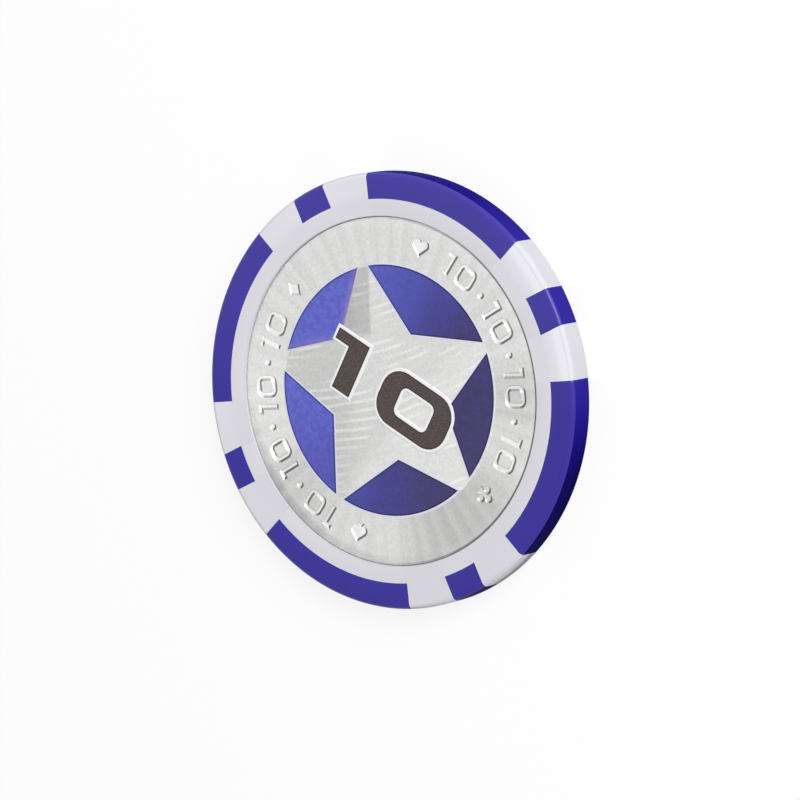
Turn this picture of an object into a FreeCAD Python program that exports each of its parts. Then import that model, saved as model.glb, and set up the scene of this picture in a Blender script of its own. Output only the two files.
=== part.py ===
import FreeCAD
import Part
import os
import Sketcher

# A golf ball marker in the form of a casino chip: a white moulded disc over a steel core, with eight
# blue edge blocks moulded into its rim, and a printed foil label in a shallow recess on each face.
#
# The chip lies flat with its front label up: Z is its axis, and z = 0 is the face that it rests on.
# Lengths are in millimetres and angles in degrees, counter-clockwise from +X as seen from above.

SIZES = [
    # the moulded disc
    ("chip_diameter", 39.0, "across the rim"),
    ("chip_thickness", 2.8, "over the two face rings"),
    ("rim_round", 0.45, "radius of the rim's two edges"),
    ("face_band", 1.55, "white band between the edge blocks and the label's recess"),
    ("recess_depth", 0.45, "depth of the recess in each face"),
    ("recess_bevel", 0.1, "bevel round the recess's mouth"),
    # the blue edge blocks, one long and one short in each quarter
    ("block_depth", 2.35, "how far a block's face reaches in from the rim"),
    ("long_block_span", 50.0, "angle that a long block covers"),
    ("long_block_turn", 69.4, "middle of the first long block"),
    ("short_block_width", 3.3, "between a short block's parallel sides"),
    ("short_block_lag", 45.1, "from a long block's middle back to the short block's"),
    # the key that holds each block in the white plastic: a neck and a thicker head
    ("key_neck_depth", 0.6, "length of the neck, inwards"),
    ("key_neck_height", 0.7, "thickness of the neck"),
    ("key_head_depth", 0.5, "length of the head, inwards"),
    ("key_head_height", 1.2, "thickness of the head"),
    ("key_end_inset", 1.2, "how far the key stops short of a long block's ends, in degrees"),
    # the steel core
    ("core_cover", 1.25, "plastic between the core's edge and the keys"),
    ("core_skin", 0.35, "plastic between the core and each recess floor"),
    ("core_edge_round", 0.15, "rounded edges of the stamping"),
    ("core_eye_diameter", 4.0, "hole in the core's middle"),
    ("core_hole_diameter", 3.0, "holes that the plastic fills"),
    ("core_hole_margin", 4.8, "from the core's edge to the holes' centres"),
    ("core_hole_count", 6, "holes round the core"),
    ("pin_mark_diameter", 1.6, "marks of the pins that hold the core in the mould"),
    ("pin_mark_margin", 1.9, "from the core's edge to the marks' centres"),
    ("pin_mark_count", 3, "marks on each side"),
    # the label's layers
    ("label_clearance", 0.1, "between the label's edge and the recess's wall"),
    ("adhesive_thickness", 0.05, "glue under the film"),
    ("film_thickness", 0.15, "foil film"),
    ("relief_depth", 0.1, "how deep the marks are pressed into the film"),
    # the star, bare foil between five panels of blue lacquer
    ("disc_diameter", 22.2, "across the blue disc that the star divides into panels"),
    ("panel_thickness", 0.03, "blue lacquer"),
    ("star_overrun", 1.5, "how far the star's tips would reach past the blue disc"),
    ("star_waist_radius", 6.3, "radius of the star's inner corners"),
    ("star_turn", 125.9, "first tip, from the numeral's line"),
    ("star_stretch", 1.058, "length over mean of the star along the numeral's line"),
    ("print_shift_x", -0.2, "how far off centre the star is printed"),
    ("print_shift_y", 0.1, "how far off centre the star is printed"),
    # the numeral, one and nought, and the white border under it
    ("number_turn", -29.0, "slope of the numeral's line"),
    ("number_height", 5.1, "height of the digits"),
    ("number_stem", 1.92, "width of the one's stem"),
    ("number_flag_reach", 1.55, "length of the one's flag"),
    ("number_flag_height", 0.98, "thickness of the one's flag"),
    ("number_gap", 2.6, "between the digits"),
    ("number_zero_width", 8.05, "width of the nought"),
    ("number_zero_side", 2.1, "stroke of the nought's sides"),
    ("number_zero_top", 1.17, "stroke of the nought's top and bottom"),
    ("number_corner", 2.0, "outer corners of the nought"),
    ("number_hole_corner", 0.7, "corners of the nought's hole"),
    ("number_border", 0.27, "how far the border stands out round the digits"),
    ("border_thickness", 0.1, "raised white print under the numeral"),
    ("number_thickness", 0.03, "dark print of the numeral"),
    # the pressed band: two arcs of small tens with beads between them, and a suit at each end
    ("ornament_turn", 15.75, "middle of the first arc"),
    ("ten_pitch", 5.9, "from one small ten to the next, round the band"),
    ("ten_count", 4, "small tens in an arc"),
    ("ten_height", 2.2, "height of the small digits"),
    ("ten_stem", 0.55, "width of the small one's stem"),
    ("ten_flag_reach", 0.42, "length of the small one's flag"),
    ("ten_flag_height", 0.5, "thickness of the small one's flag"),
    ("ten_gap", 0.55, "between the small digits"),
    ("ten_zero_width", 2.1, "width of the small nought"),
    ("ten_zero_side", 0.55, "stroke of the small nought's sides"),
    ("ten_zero_top", 0.5, "stroke of the small nought's top and bottom"),
    ("ten_corner", 0.7, "outer corners of the small nought"),
    ("ten_hole_corner", 0.2, "corners of the small nought's hole"),
    ("bead_diameter", 0.7, "beads between the small tens"),
    ("suit_distance", 13.4, "from an arc's middle to its suits, round the band"),
    ("suit_width", 1.8, "width of a suit"),
    ("suit_stem", 0.4, "width of a spade's or club's stem at its neck"),
    ("diamond_width", 1.4, "width of the diamond"),
    ("club_lobe_diameter", 0.82, "each of the club's three lobes"),
]

QUARTERS = 4


def size(name):
    """The expression that reads a size from the sheet."""
    return f"Dimensions.{name}"


# Radii and heights that follow from the sizes, as expressions.
RIM_RADIUS = f"({size('chip_diameter')} / 2)"
BLOCK_RADIUS = f"({RIM_RADIUS} - {size('block_depth')})"
RECESS_RADIUS = f"({BLOCK_RADIUS} - {size('face_band')})"
LABEL_RADIUS = f"({RECESS_RADIUS} - {size('label_clearance')})"
DISC_RADIUS = f"({size('disc_diameter')} / 2)"
MARK_RADIUS = f"(({LABEL_RADIUS} + {DISC_RADIUS}) / 2)"
KEY_NECK_RADIUS = f"({BLOCK_RADIUS} - {size('key_neck_depth')})"
KEY_HEAD_RADIUS = f"({KEY_NECK_RADIUS} - {size('key_head_depth')})"
CORE_RADIUS = f"({KEY_HEAD_RADIUS} - {size('core_cover')})"
FACE_HEIGHT = size("chip_thickness")
MIDDLE_HEIGHT = f"({FACE_HEIGHT} / 2)"
BACK_FLOOR = size("recess_depth")
FRONT_FLOOR = f"({FACE_HEIGHT} - {size('recess_depth')})"
CORE_BOTTOM = f"({BACK_FLOOR} + {size('core_skin')})"
CORE_TOP = f"({FRONT_FLOOR} - {size('core_skin')})"
FILM_BASE = f"({FRONT_FLOOR} + {size('adhesive_thickness')})"
PRINT_BASE = f"({FILM_BASE} + {size('film_thickness')})"
NUMBER_BASE = f"({PRINT_BASE} + {size('border_thickness')})"
DEGREES_PER_LENGTH = f"(180 / (pi * {MARK_RADIUS}))"

document = FreeCAD.newDocument("BallMarker")


def fill_sheet():
    """The sheet of driving sizes: name, number and meaning, with the name as the number's alias."""
    sheet = document.addObject("Spreadsheet::Sheet", "Dimensions")
    for row, (name, number, meaning) in enumerate(SIZES, start=1):
        sheet.set(f"A{row}", name)
        sheet.set(f"B{row}", str(number))
        sheet.setAlias(f"B{row}", name)
        sheet.set(f"C{row}", meaning)
    document.recompute()
    return sheet


SHEET = fill_sheet()


def number_of(expression):
    """The number that an expression gives now."""
    return float(SHEET.evalExpression(expression.replace("Dimensions.", "")))


# ---------------------------------------------------------------- sketching


def new_body(label):
    body = document.addObject("PartDesign::Body", label)
    body.Label = label
    return body


def new_sketch(body, name, plane="XY_Plane", height="0", turn="0", shift=("0", "0")):
    """A sketch on one of the body's own origin planes, raised, turned and shifted by expressions."""
    sketch = body.newObject("Sketcher::SketchObject", f"{body.Label}_{name}")
    features = {feature.Role: feature for feature in body.Origin.OriginFeatures}
    sketch.AttachmentSupport = (features[plane], [""])
    sketch.MapMode = "FlatFace"
    sketch.setExpression("AttachmentOffset.Base.x", shift[0])
    sketch.setExpression("AttachmentOffset.Base.y", shift[1])
    sketch.setExpression("AttachmentOffset.Base.z", height)
    sketch.setExpression("AttachmentOffset.Rotation.Angle", turn)
    return sketch


def fix(sketch, kind, element, point, expression):
    """Binds a coordinate or radius of a sketch's element to an expression."""
    where = (element,) if kind == "Radius" else (element, point)
    index = sketch.addConstraint(Sketcher.Constraint(kind, *where, number_of(expression)))
    sketch.setExpression(f"Constraints[{index}]", expression)


START, END, CENTRE = range(1, 4)


def draw_circle(sketch, radius, x="0", y="0"):
    centre = FreeCAD.Vector(number_of(x), number_of(y), 0)
    circle = Part.Circle(centre, FreeCAD.Vector(0, 0, 1), number_of(radius))
    element = sketch.addGeometry(circle)
    fix(sketch, "Radius", element, None, radius)
    fix(sketch, "DistanceX", element, CENTRE, x)
    fix(sketch, "DistanceY", element, CENTRE, y)


def toward(start, goal, distance):
    """The point at a distance from start on the way to goal."""
    return start + (goal - start).normalize() * distance


def draw_outline(sketch, corners, rounds=None, bulges=None):
    """A closed outline through corners, pairs of expressions in counter-clockwise order.

    rounds gives a radius for each corner that is rounded, where two square sides meet.
    bulges gives the centre of each side that is an arc, by the corner where the side starts.
    """
    rounds = rounds or {}
    bulges = bulges or {}
    count = len(corners)
    points = [FreeCAD.Vector(number_of(x), number_of(y), 0) for x, y in corners]
    sides = []
    arcs = {}
    for here in range(count):
        after = (here + 1) % count
        start, end = points[here], points[after]
        if here in rounds:
            start = toward(start, end, number_of(rounds[here]))
        if after in rounds:
            end = toward(end, points[here], number_of(rounds[after]))
        if here in bulges:
            centre = FreeCAD.Vector(*(number_of(part) for part in bulges[here]), 0)
            outward = FreeCAD.Vector(end.y - start.y, start.x - end.x, 0).normalize()
            middle = centre + outward * (start - centre).Length
            sides.append(sketch.addGeometry(Part.Arc(start, middle, end)))
        else:
            sides.append(sketch.addGeometry(Part.LineSegment(start, end)))
    for corner, radius in rounds.items():
        before = points[corner - 1]
        after = points[(corner + 1) % count]
        reach = number_of(radius)
        entry = toward(points[corner], before, reach)
        leave = toward(points[corner], after, reach)
        centre = entry + leave - points[corner]
        middle = toward(centre, points[corner], reach)
        arcs[corner] = sketch.addGeometry(Part.Arc(entry, middle, leave))
    for corner in range(count):
        before, after = sides[corner - 1], sides[corner]
        if corner in rounds:
            arc = arcs[corner]
            sketch.addConstraint(Sketcher.Constraint("Tangent", before, END, arc, START))
            sketch.addConstraint(Sketcher.Constraint("Tangent", arc, END, after, START))
            fix(sketch, "Radius", arc, None, rounds[corner])
        else:
            sketch.addConstraint(Sketcher.Constraint("Coincident", before, END, after, START))
    for here, (x, y) in enumerate(corners):
        next_x, next_y = corners[(here + 1) % count]
        last_x, last_y = corners[here - 1]
        straight = here not in bulges
        if here in bulges:
            fix(sketch, "DistanceX", sides[here], CENTRE, bulges[here][0])
        if straight and x == next_x:
            sketch.addConstraint(Sketcher.Constraint("Vertical", sides[here]))
            fix(sketch, "DistanceX", sides[here], START, x)
        if straight and y == next_y:
            sketch.addConstraint(Sketcher.Constraint("Horizontal", sides[here]))
            fix(sketch, "DistanceY", sides[here], START, y)
        square_before = (here - 1) % count not in bulges
        if here not in rounds:
            if not (straight and x == next_x) and not (square_before and x == last_x):
                fix(sketch, "DistanceX", sides[here], START, x)
            if not (straight and y == next_y) and not (square_before and y == last_y):
                fix(sketch, "DistanceY", sides[here], START, y)


def draw_box(sketch, left, right, low, high, corner=None):
    """A rectangle, with all its corners rounded if a corner radius is given."""
    corners = [(left, low), (right, low), (right, high), (left, high)]
    draw_outline(sketch, corners, dict.fromkeys(range(4), corner) if corner else None)


def draw_ten(sketch, prefix, height="0", grow="0", with_hole=True):
    """The digits one and nought, centred on x = 0 and y = height, each grown outwards by grow."""
    def part(name):
        return size(f"{prefix}_{name}")

    half = f"({part('height')} / 2)"
    width = " + ".join(part(name) for name in ("flag_reach", "stem", "gap", "zero_width"))
    left = f"(-({width}) / 2)"
    stem_left = f"({left} + {part('flag_reach')})"
    stem_right = f"({stem_left} + {part('stem')})"
    zero_left = f"({stem_right} + {part('gap')})"
    zero_right = f"({zero_left} + {part('zero_width')})"
    low = f"({height} - {half} - {grow})"
    high = f"({height} + {half} + {grow})"
    flag_low = f"({height} + {half} - {part('flag_height')} - {grow})"
    one = [
        (f"{stem_left} - {grow}", low),
        (f"{stem_right} + {grow}", low),
        (f"{stem_right} + {grow}", high),
        (f"{left} - {grow}", high),
        (f"{left} - {grow}", flag_low),
        (f"{stem_left} - {grow}", flag_low),
    ]
    draw_outline(sketch, one)
    outer_corner = f"{part('corner')} + {grow}"
    draw_box(sketch, f"{zero_left} - {grow}", f"{zero_right} + {grow}", low, high, outer_corner)
    if with_hole:
        draw_box(
            sketch,
            f"{zero_left} + {part('zero_side')} + {grow}",
            f"{zero_right} - {part('zero_side')} - {grow}",
            f"{height} - {half} + {part('zero_top')} + {grow}",
            f"{height} + {half} - {part('zero_top')} - {grow}",
            f"{part('hole_corner')} - {grow}",
        )


# ---------------------------------------------------------------- features


def pad(sketch, body, thickness):
    feature = body.newObject("PartDesign::Pad", f"{sketch.Name}_pad")
    feature.Profile = sketch
    feature.setExpression("Length", thickness)
    return feature


def pocket(sketch, body):
    """Cuts a sketch's outlines right through the body, both ways."""
    feature = body.newObject("PartDesign::Pocket", f"{sketch.Name}_pocket")
    feature.Profile = sketch
    feature.Type = "ThroughAll"
    feature.Midplane = True
    return feature


def revolve(sketch, body, angle="360"):
    """Turns a section about the chip's axis, evenly to both sides of its plane."""
    feature = body.newObject("PartDesign::Revolution", f"{sketch.Name}_turned")
    feature.Profile = sketch
    feature.ReferenceAxis = (sketch, ["V_Axis"])
    feature.Midplane = True
    feature.setExpression("Angle", angle)
    return feature


def repeat_round(body, feature, count, angle="360"):
    """Copies a feature round the chip's axis: evenly over a full turn, or from end to end of angle."""
    pattern = body.newObject("PartDesign::PolarPattern", f"{feature.Name}_round")
    pattern.Originals = [feature]
    axes = {axis.Role: axis for axis in body.Origin.OriginFeatures}
    pattern.Axis = (axes["Z_Axis"], [""])
    pattern.setExpression("Angle", angle)
    pattern.setExpression("Occurrences", count)
    body.Tip = pattern
    return pattern


# ---------------------------------------------------------------- the moulded disc


def make_core():
    """The stamped steel weight, with a ring of holes that lock it in the plastic."""
    body = new_body("steel_core")
    section = new_sketch(body, "section", "XZ_Plane")
    eye = f"({size('core_eye_diameter')} / 2)"
    corners = [(eye, CORE_BOTTOM), (CORE_RADIUS, CORE_BOTTOM), (CORE_RADIUS, CORE_TOP), (eye, CORE_TOP)]
    edge = size("core_edge_round")
    draw_outline(section, corners, {1: edge, 2: edge})
    revolve(section, body)
    hole = new_sketch(body, "hole")
    draw_circle(hole, f"{size('core_hole_diameter')} / 2", f"{CORE_RADIUS} - {size('core_hole_margin')}")
    repeat_round(body, pocket(hole, body), size("core_hole_count"))
    return body


def draw_rim_section(sketch, inner_corners):
    """A section that ends at the rim's rounded edges; inner_corners run from the top to the bottom."""
    rim = [(RIM_RADIUS, "0"), (RIM_RADIUS, FACE_HEIGHT)]
    corner = size("rim_round")
    draw_outline(sketch, rim + inner_corners, {0: corner, 1: corner})


def draw_block_section(sketch, with_key):
    """An edge block's section: the full height of the rim, and the key's neck and head inside it."""
    top, bottom = (BLOCK_RADIUS, FACE_HEIGHT), (BLOCK_RADIUS, "0")
    if not with_key:
        draw_rim_section(sketch, [top, bottom])
        return
    neck_low = f"({MIDDLE_HEIGHT} - {size('key_neck_height')} / 2)"
    neck_high = f"({MIDDLE_HEIGHT} + {size('key_neck_height')} / 2)"
    head_low = f"({MIDDLE_HEIGHT} - {size('key_head_height')} / 2)"
    head_high = f"({MIDDLE_HEIGHT} + {size('key_head_height')} / 2)"
    key = [
        (BLOCK_RADIUS, neck_high),
        (KEY_NECK_RADIUS, neck_high),
        (KEY_NECK_RADIUS, head_high),
        (KEY_HEAD_RADIUS, head_high),
        (KEY_HEAD_RADIUS, head_low),
        (KEY_NECK_RADIUS, head_low),
        (KEY_NECK_RADIUS, neck_low),
        (BLOCK_RADIUS, neck_low),
    ]
    draw_rim_section(sketch, [top] + key + [bottom])


def turn_body(body, angle):
    """Turns a finished body about the chip's axis."""
    about_axis = FreeCAD.Rotation(FreeCAD.Vector(0, 0, 1), number_of(angle))
    body.Placement = FreeCAD.Placement(FreeCAD.Vector(), about_axis)
    body.setExpression("Placement.Rotation.Angle", angle)


def make_long_block(index):
    """A long edge block: its ends point at the chip's axis, and its key stops short of them."""
    body = new_body(f"long_block_{index + 1}")
    face = new_sketch(body, "section", "XZ_Plane")
    draw_block_section(face, with_key=False)
    revolve(face, body, size("long_block_span"))
    keyed = new_sketch(body, "key", "XZ_Plane")
    draw_block_section(keyed, with_key=True)
    revolve(keyed, body, f"{size('long_block_span')} - 2 * {size('key_end_inset')}")
    turn_body(body, f"{size('long_block_turn')} + {index} * 360 / {QUARTERS}")
    return body


def make_short_block(index):
    """A short edge block: a piece of the same ring, trimmed to parallel sides."""
    body = new_body(f"short_block_{index + 1}")
    section = new_sketch(body, "section", "XZ_Plane")
    draw_block_section(section, with_key=True)
    sweep = f"2 * asin({size('short_block_width')} / {KEY_HEAD_RADIUS})"
    revolve(section, body, sweep)
    trim = new_sketch(body, "trim")
    half = f"{size('short_block_width')} / 2"
    reach = size("chip_diameter")
    draw_box(trim, "0", reach, half, reach)
    draw_box(trim, "0", reach, f"-{reach}", f"-{half}")
    pocket(trim, body)
    quarter = f"{index} * 360 / {QUARTERS}"
    turn_body(body, f"{size('long_block_turn')} - {size('short_block_lag')} + {quarter}")
    return body


def make_white_body(inserts):
    """The white plastic: a disc with a recess in each face, moulded round the core and the blocks."""
    blank = new_body("white_blank")
    section = new_sketch(blank, "section", "XZ_Plane")
    mouth = f"({RECESS_RADIUS} + {size('recess_bevel')})"
    recess = [
        (mouth, FACE_HEIGHT),
        (RECESS_RADIUS, f"{FACE_HEIGHT} - {size('recess_bevel')}"),
        (RECESS_RADIUS, FRONT_FLOOR),
        ("0", FRONT_FLOOR),
        ("0", BACK_FLOOR),
        (RECESS_RADIUS, BACK_FLOOR),
        (RECESS_RADIUS, size("recess_bevel")),
        (mouth, "0"),
    ]
    draw_rim_section(section, recess)
    revolve(section, blank)
    mark = new_sketch(blank, "pin_mark")
    draw_circle(mark, f"{size('pin_mark_diameter')} / 2", f"{CORE_RADIUS} - {size('pin_mark_margin')}")
    repeat_round(blank, pocket(mark, blank), size("pin_mark_count"))
    moulded_in = document.addObject("Part::Compound", "moulded_in")
    moulded_in.Links = inserts
    body = document.addObject("Part::Cut", "white_body")
    body.Base = blank
    body.Tool = moulded_in
    body.Label = "white_body"
    return body


# ---------------------------------------------------------------- the labels


def put_on(side, body):
    """The front's layers stay where they are drawn, and the back's are the same, turned over."""
    if side == "back":
        turned_over = FreeCAD.Rotation(FreeCAD.Vector(1, 0, 0), 180)
        body.Placement = FreeCAD.Placement(FreeCAD.Vector(), turned_over)
        body.setExpression("Placement.Base.z", FACE_HEIGHT)
    return body


def make_adhesive(side):
    body = new_body(f"{side}_adhesive")
    glue = new_sketch(body, "glue", height=FRONT_FLOOR)
    draw_circle(glue, LABEL_RADIUS)
    pad(glue, body, size("adhesive_thickness"))
    return put_on(side, body)


def mark_sketch(body, name, distance):
    """A sketch whose +Y points outwards, at a distance round the band from the first arc's middle."""
    turn = f"{size('ornament_turn')} + {distance} * {DEGREES_PER_LENGTH} - 90"
    return new_sketch(body, name, height=PRINT_BASE, turn=turn)


def press(sketch, body):
    """Presses a sketch's outlines part of the way into the film."""
    feature = body.newObject("PartDesign::Pocket", f"{sketch.Name}_pressed")
    feature.Profile = sketch
    feature.setExpression("Length", size("relief_depth"))
    return feature


def press_arc(body, name, middle):
    """Small tens in an arc round the band's middle, with a bead between each two."""
    pitch = size("ten_pitch")
    for mark, count in (("tens", size("ten_count")), ("beads", f"({size('ten_count')} - 1)")):
        length = f"(({count} - 1) * {pitch})"
        sketch = mark_sketch(body, f"{name}_{mark}", f"({middle} - {length} / 2)")
        if mark == "tens":
            draw_ten(sketch, "ten", MARK_RADIUS)
        else:
            draw_circle(sketch, f"{size('bead_diameter')} / 2", "0", MARK_RADIUS)
        repeat_round(body, press(sketch, body), count, f"{length} * {DEGREES_PER_LENGTH}")


def draw_heart(sketch, up, middle):
    """A square on its corner with a half circle on each upper side; up is -1 for a spade's leaf."""
    half = f"({up} * {size('suit_width')} / (1 + sqrt(2)))"
    low, high = f"({middle} - {half})", f"({middle} + {half})"
    lobe_height = f"({middle} + {half} / 2)"
    lobes = {1: (f"{half} / 2", lobe_height), 2: (f"-{half} / 2", lobe_height)}
    draw_outline(sketch, [("0", low), (half, middle), ("0", high), (f"-{half}", middle)], bulges=lobes)


def draw_stem(sketch, high):
    """A spade's or club's stem, which widens to its foot."""
    neck, foot = f"({size('suit_stem')} / 2)", size("suit_stem")
    low = f"({MARK_RADIUS} - {size('suit_width')} / 2)"
    draw_outline(sketch, [(f"-{foot}", low), (foot, low), (neck, high), (f"-{neck}", high)])


def press_heart(body, distance):
    heart = mark_sketch(body, "heart", distance)
    draw_heart(heart, 1, MARK_RADIUS)
    press(heart, body)


def press_diamond(body, distance):
    diamond = mark_sketch(body, "diamond", distance)
    right = f"({size('diamond_width')} / 2)"
    low = f"({MARK_RADIUS} - {size('suit_width')} / 2)"
    high = f"({MARK_RADIUS} + {size('suit_width')} / 2)"
    draw_outline(diamond, [("0", low), (right, MARK_RADIUS), ("0", high), (f"-{right}", MARK_RADIUS)])
    press(diamond, body)


def press_spade(body, distance):
    leaf = mark_sketch(body, "spade_leaf", distance)
    draw_heart(leaf, -1, f"({MARK_RADIUS} + {size('suit_stem')} / 2)")
    press(leaf, body)
    stem = mark_sketch(body, "spade_stem", distance)
    draw_stem(stem, MARK_RADIUS)
    press(stem, body)


def press_club(body, distance):
    radius = f"({size('club_lobe_diameter')} / 2)"
    aside = f"({size('suit_width')} / 2 - {radius})"
    lower = mark_sketch(body, "club_lower_lobes", distance)
    draw_circle(lower, radius, aside, f"{MARK_RADIUS} - {radius} / 2")
    draw_circle(lower, radius, f"-{aside}", f"{MARK_RADIUS} - {radius} / 2")
    press(lower, body)
    upper = mark_sketch(body, "club_upper_lobe", distance)
    draw_circle(upper, radius, "0", f"{MARK_RADIUS} + {radius}")
    press(upper, body)
    stem = mark_sketch(body, "club_stem", distance)
    draw_stem(stem, f"({MARK_RADIUS} + {radius})")
    press(stem, body)


def make_label(side):
    """The foil film and what is pressed into it: an arc of small tens on each side, and four suits."""
    body = new_body(f"{side}_label")
    film = new_sketch(body, "film", height=FILM_BASE)
    draw_circle(film, LABEL_RADIUS)
    pad(film, body, size("film_thickness"))
    half_turn = f"(pi * {MARK_RADIUS})"
    press_arc(body, "first_arc", "0")
    press_arc(body, "second_arc", half_turn)
    suit_distance = size("suit_distance")
    press_heart(body, suit_distance)
    press_diamond(body, f"({half_turn} - {suit_distance})")
    press_spade(body, f"({half_turn} + {suit_distance})")
    press_club(body, f"(-{suit_distance})")
    return put_on(side, body)


def draw_star(sketch):
    """A five-pointed star about the sketch's origin, a little long in the line of the sketch's X."""
    tip_radius = f"({DISC_RADIUS} + {size('star_overrun')})"
    tip_count = 5
    corners = []
    for step in range(2 * tip_count):
        radius = tip_radius if step % 2 == 0 else size("star_waist_radius")
        angle = f"({size('star_turn')} + {step} * 180 / {tip_count})"
        x = f"{radius} * cos({angle}) * {size('star_stretch')}"
        y = f"{radius} * sin({angle}) / {size('star_stretch')}"
        corners.append((x, y))
    draw_outline(sketch, corners)


def make_star_panels(side):
    """Five panels of blue lacquer: a disc less the star and less the numeral's border."""
    body = new_body(f"{side}_star_panels")
    shift = (size("print_shift_x"), size("print_shift_y"))
    disc = new_sketch(body, "disc", height=PRINT_BASE, shift=shift)
    draw_circle(disc, DISC_RADIUS)
    pad(disc, body, size("panel_thickness"))
    star = new_sketch(body, "star", turn=size("number_turn"), shift=shift)
    draw_star(star)
    pocket(star, body)
    numeral = new_sketch(body, "numeral", turn=size("number_turn"))
    draw_ten(numeral, "number", grow=size("number_border"), with_hole=False)
    pocket(numeral, body)
    return put_on(side, body)


def make_number_border(side):
    body = new_body(f"{side}_number_border")
    ink = new_sketch(body, "ink", height=PRINT_BASE, turn=size("number_turn"))
    draw_ten(ink, "number", grow=size("number_border"))
    pad(ink, body, size("border_thickness"))
    return put_on(side, body)


def make_number(side):
    body = new_body(f"{side}_number")
    ink = new_sketch(body, "ink", height=NUMBER_BASE, turn=size("number_turn"))
    draw_ten(ink, "number")
    pad(ink, body, size("number_thickness"))
    return put_on(side, body)


# ---------------------------------------------------------------- the whole chip


def make_chip():
    core = make_core()
    blocks = [make(index) for make in (make_long_block, make_short_block) for index in range(QUARTERS)]
    pieces = [core, make_white_body([core] + blocks)] + blocks
    for side in ("front", "back"):
        for make in (make_adhesive, make_label, make_star_panels, make_number_border, make_number):
            pieces.append(make(side))
    document.recompute()
    return pieces


def check(pieces):
    """Stops on a failed object, a cut that removes nothing, or an empty or invalid piece."""
    for thing in document.Objects:
        if {"Invalid", "Error"} & set(thing.State):
            raise RuntimeError(f"{thing.Name} did not compute: {thing.State}")
        if thing.TypeId == "PartDesign::Pocket" and thing.Shape.Volume >= thing.BaseFeature.Shape.Volume:
            raise RuntimeError(f"{thing.Name} cuts nothing")
    for piece in pieces:
        if piece.Shape.isNull() or not piece.Shape.isValid() or not piece.Shape.Solids:
            raise RuntimeError(f"{piece.Label} is not a sound solid")


def write(pieces):
    os.makedirs("parts", exist_ok=True)
    for piece in pieces:
        piece.Shape.exportStep(f"parts/{piece.Label}.step")
        box = piece.Shape.BoundBox
        print(
            f"{piece.Label:22} solids {len(piece.Shape.Solids)}  volume {piece.Shape.Volume:9.3f} mm3"
            f"  z {box.ZMin:6.3f} to {box.ZMax:6.3f}  across {box.XLength:6.3f} by {box.YLength:6.3f}"
        )


PIECES = make_chip()
check(PIECES)
write(PIECES)
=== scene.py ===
import math

import bmesh
import bpy
from mathutils import Matrix, Vector


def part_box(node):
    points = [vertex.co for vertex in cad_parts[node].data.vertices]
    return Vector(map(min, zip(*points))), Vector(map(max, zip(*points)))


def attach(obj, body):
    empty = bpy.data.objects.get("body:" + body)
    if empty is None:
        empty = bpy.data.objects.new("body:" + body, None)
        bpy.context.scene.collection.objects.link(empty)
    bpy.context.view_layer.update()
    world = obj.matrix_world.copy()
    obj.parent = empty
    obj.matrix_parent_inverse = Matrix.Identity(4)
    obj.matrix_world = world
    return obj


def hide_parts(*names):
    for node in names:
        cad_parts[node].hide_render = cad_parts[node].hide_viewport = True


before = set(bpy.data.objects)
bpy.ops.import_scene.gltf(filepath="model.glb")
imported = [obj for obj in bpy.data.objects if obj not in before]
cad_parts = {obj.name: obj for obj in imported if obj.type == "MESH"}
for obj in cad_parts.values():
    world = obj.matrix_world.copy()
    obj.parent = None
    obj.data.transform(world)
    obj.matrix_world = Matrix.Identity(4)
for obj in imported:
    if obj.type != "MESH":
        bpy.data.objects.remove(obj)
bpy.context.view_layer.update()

# A golf ball marker in the form of a casino chip. It lies on its back face, with the front label up:
# +Z is the chip's axis. Lengths are in metres, and MM turns a size in millimetres into metres.

MM = 0.001
TINY = 0.002 * MM  # places that are nearer than this count as the same
CUT_PAST = 1 * MM  # how far a cutting tool reaches past what it cuts
SIDES = ("front", "back")
QUARTERS = 4  # each quarter of the edge has one long block and one short one


# ---------------------------------------------------------------- places read from the frame


def height_range(node):
    low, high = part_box(node)
    return low.z, high.z


def radius_range(node, height=None):
    """Least and greatest distance from the chip's axis, at one height if it is given."""
    corners = [vertex.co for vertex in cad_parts[node].data.vertices]
    reaches = [
        math.hypot(corner.x, corner.y)
        for corner in corners
        if height is None or abs(corner.z - height) < TINY
    ]
    return min(reaches), max(reaches)


def middle_angle(node):
    """The direction of the middle of a node's sweep round the chip's axis."""
    low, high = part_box(node)
    rough = (low + high) / 2
    toward = Matrix.Rotation(-math.atan2(rough.y, rough.x), 4, "Z")
    corners = [toward @ vertex.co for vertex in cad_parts[node].data.vertices]
    angles = [math.atan2(corner.y, corner.x) for corner in corners]
    return math.atan2(rough.y, rough.x) + (min(angles) + max(angles)) / 2


THICKNESS = height_range("white_body")[1]
RIM_RADIUS = radius_range("long_block_1")[1]
BLOCK_RADIUS = radius_range("long_block_1", THICKNESS)[0]
LABEL_RADIUS = radius_range("front_label")[1]
RECESS_FLOOR = height_range("front_adhesive")[0]
FILM_BOTTOM, FILM_TOP = height_range("front_label")
PANEL_TOP = height_range("front_star_panels")[1]
BORDER_TOP = height_range("front_number_border")[1]
NUMBER_TOP = height_range("front_number")[1]

# the moulded disc and its blocks
BODY_SIDES = 432
RIM_ROUND = 0.45 * MM
RIM_SEGMENTS = 8
RECESS_RADIUS = LABEL_RADIUS + 0.1 * MM
MOUTH_ROUND = 0.08 * MM
SEAM = 0.015 * MM
LONG_SPAN = math.radians(50.6)
LONG_STEPS = 72
SHORT_WIDTH = 3.47 * MM
SHORT_SWEEP = math.radians(16)
SHORT_CUTTER_SWEEP = math.radians(20)
SHORT_STEPS = 24

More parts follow.
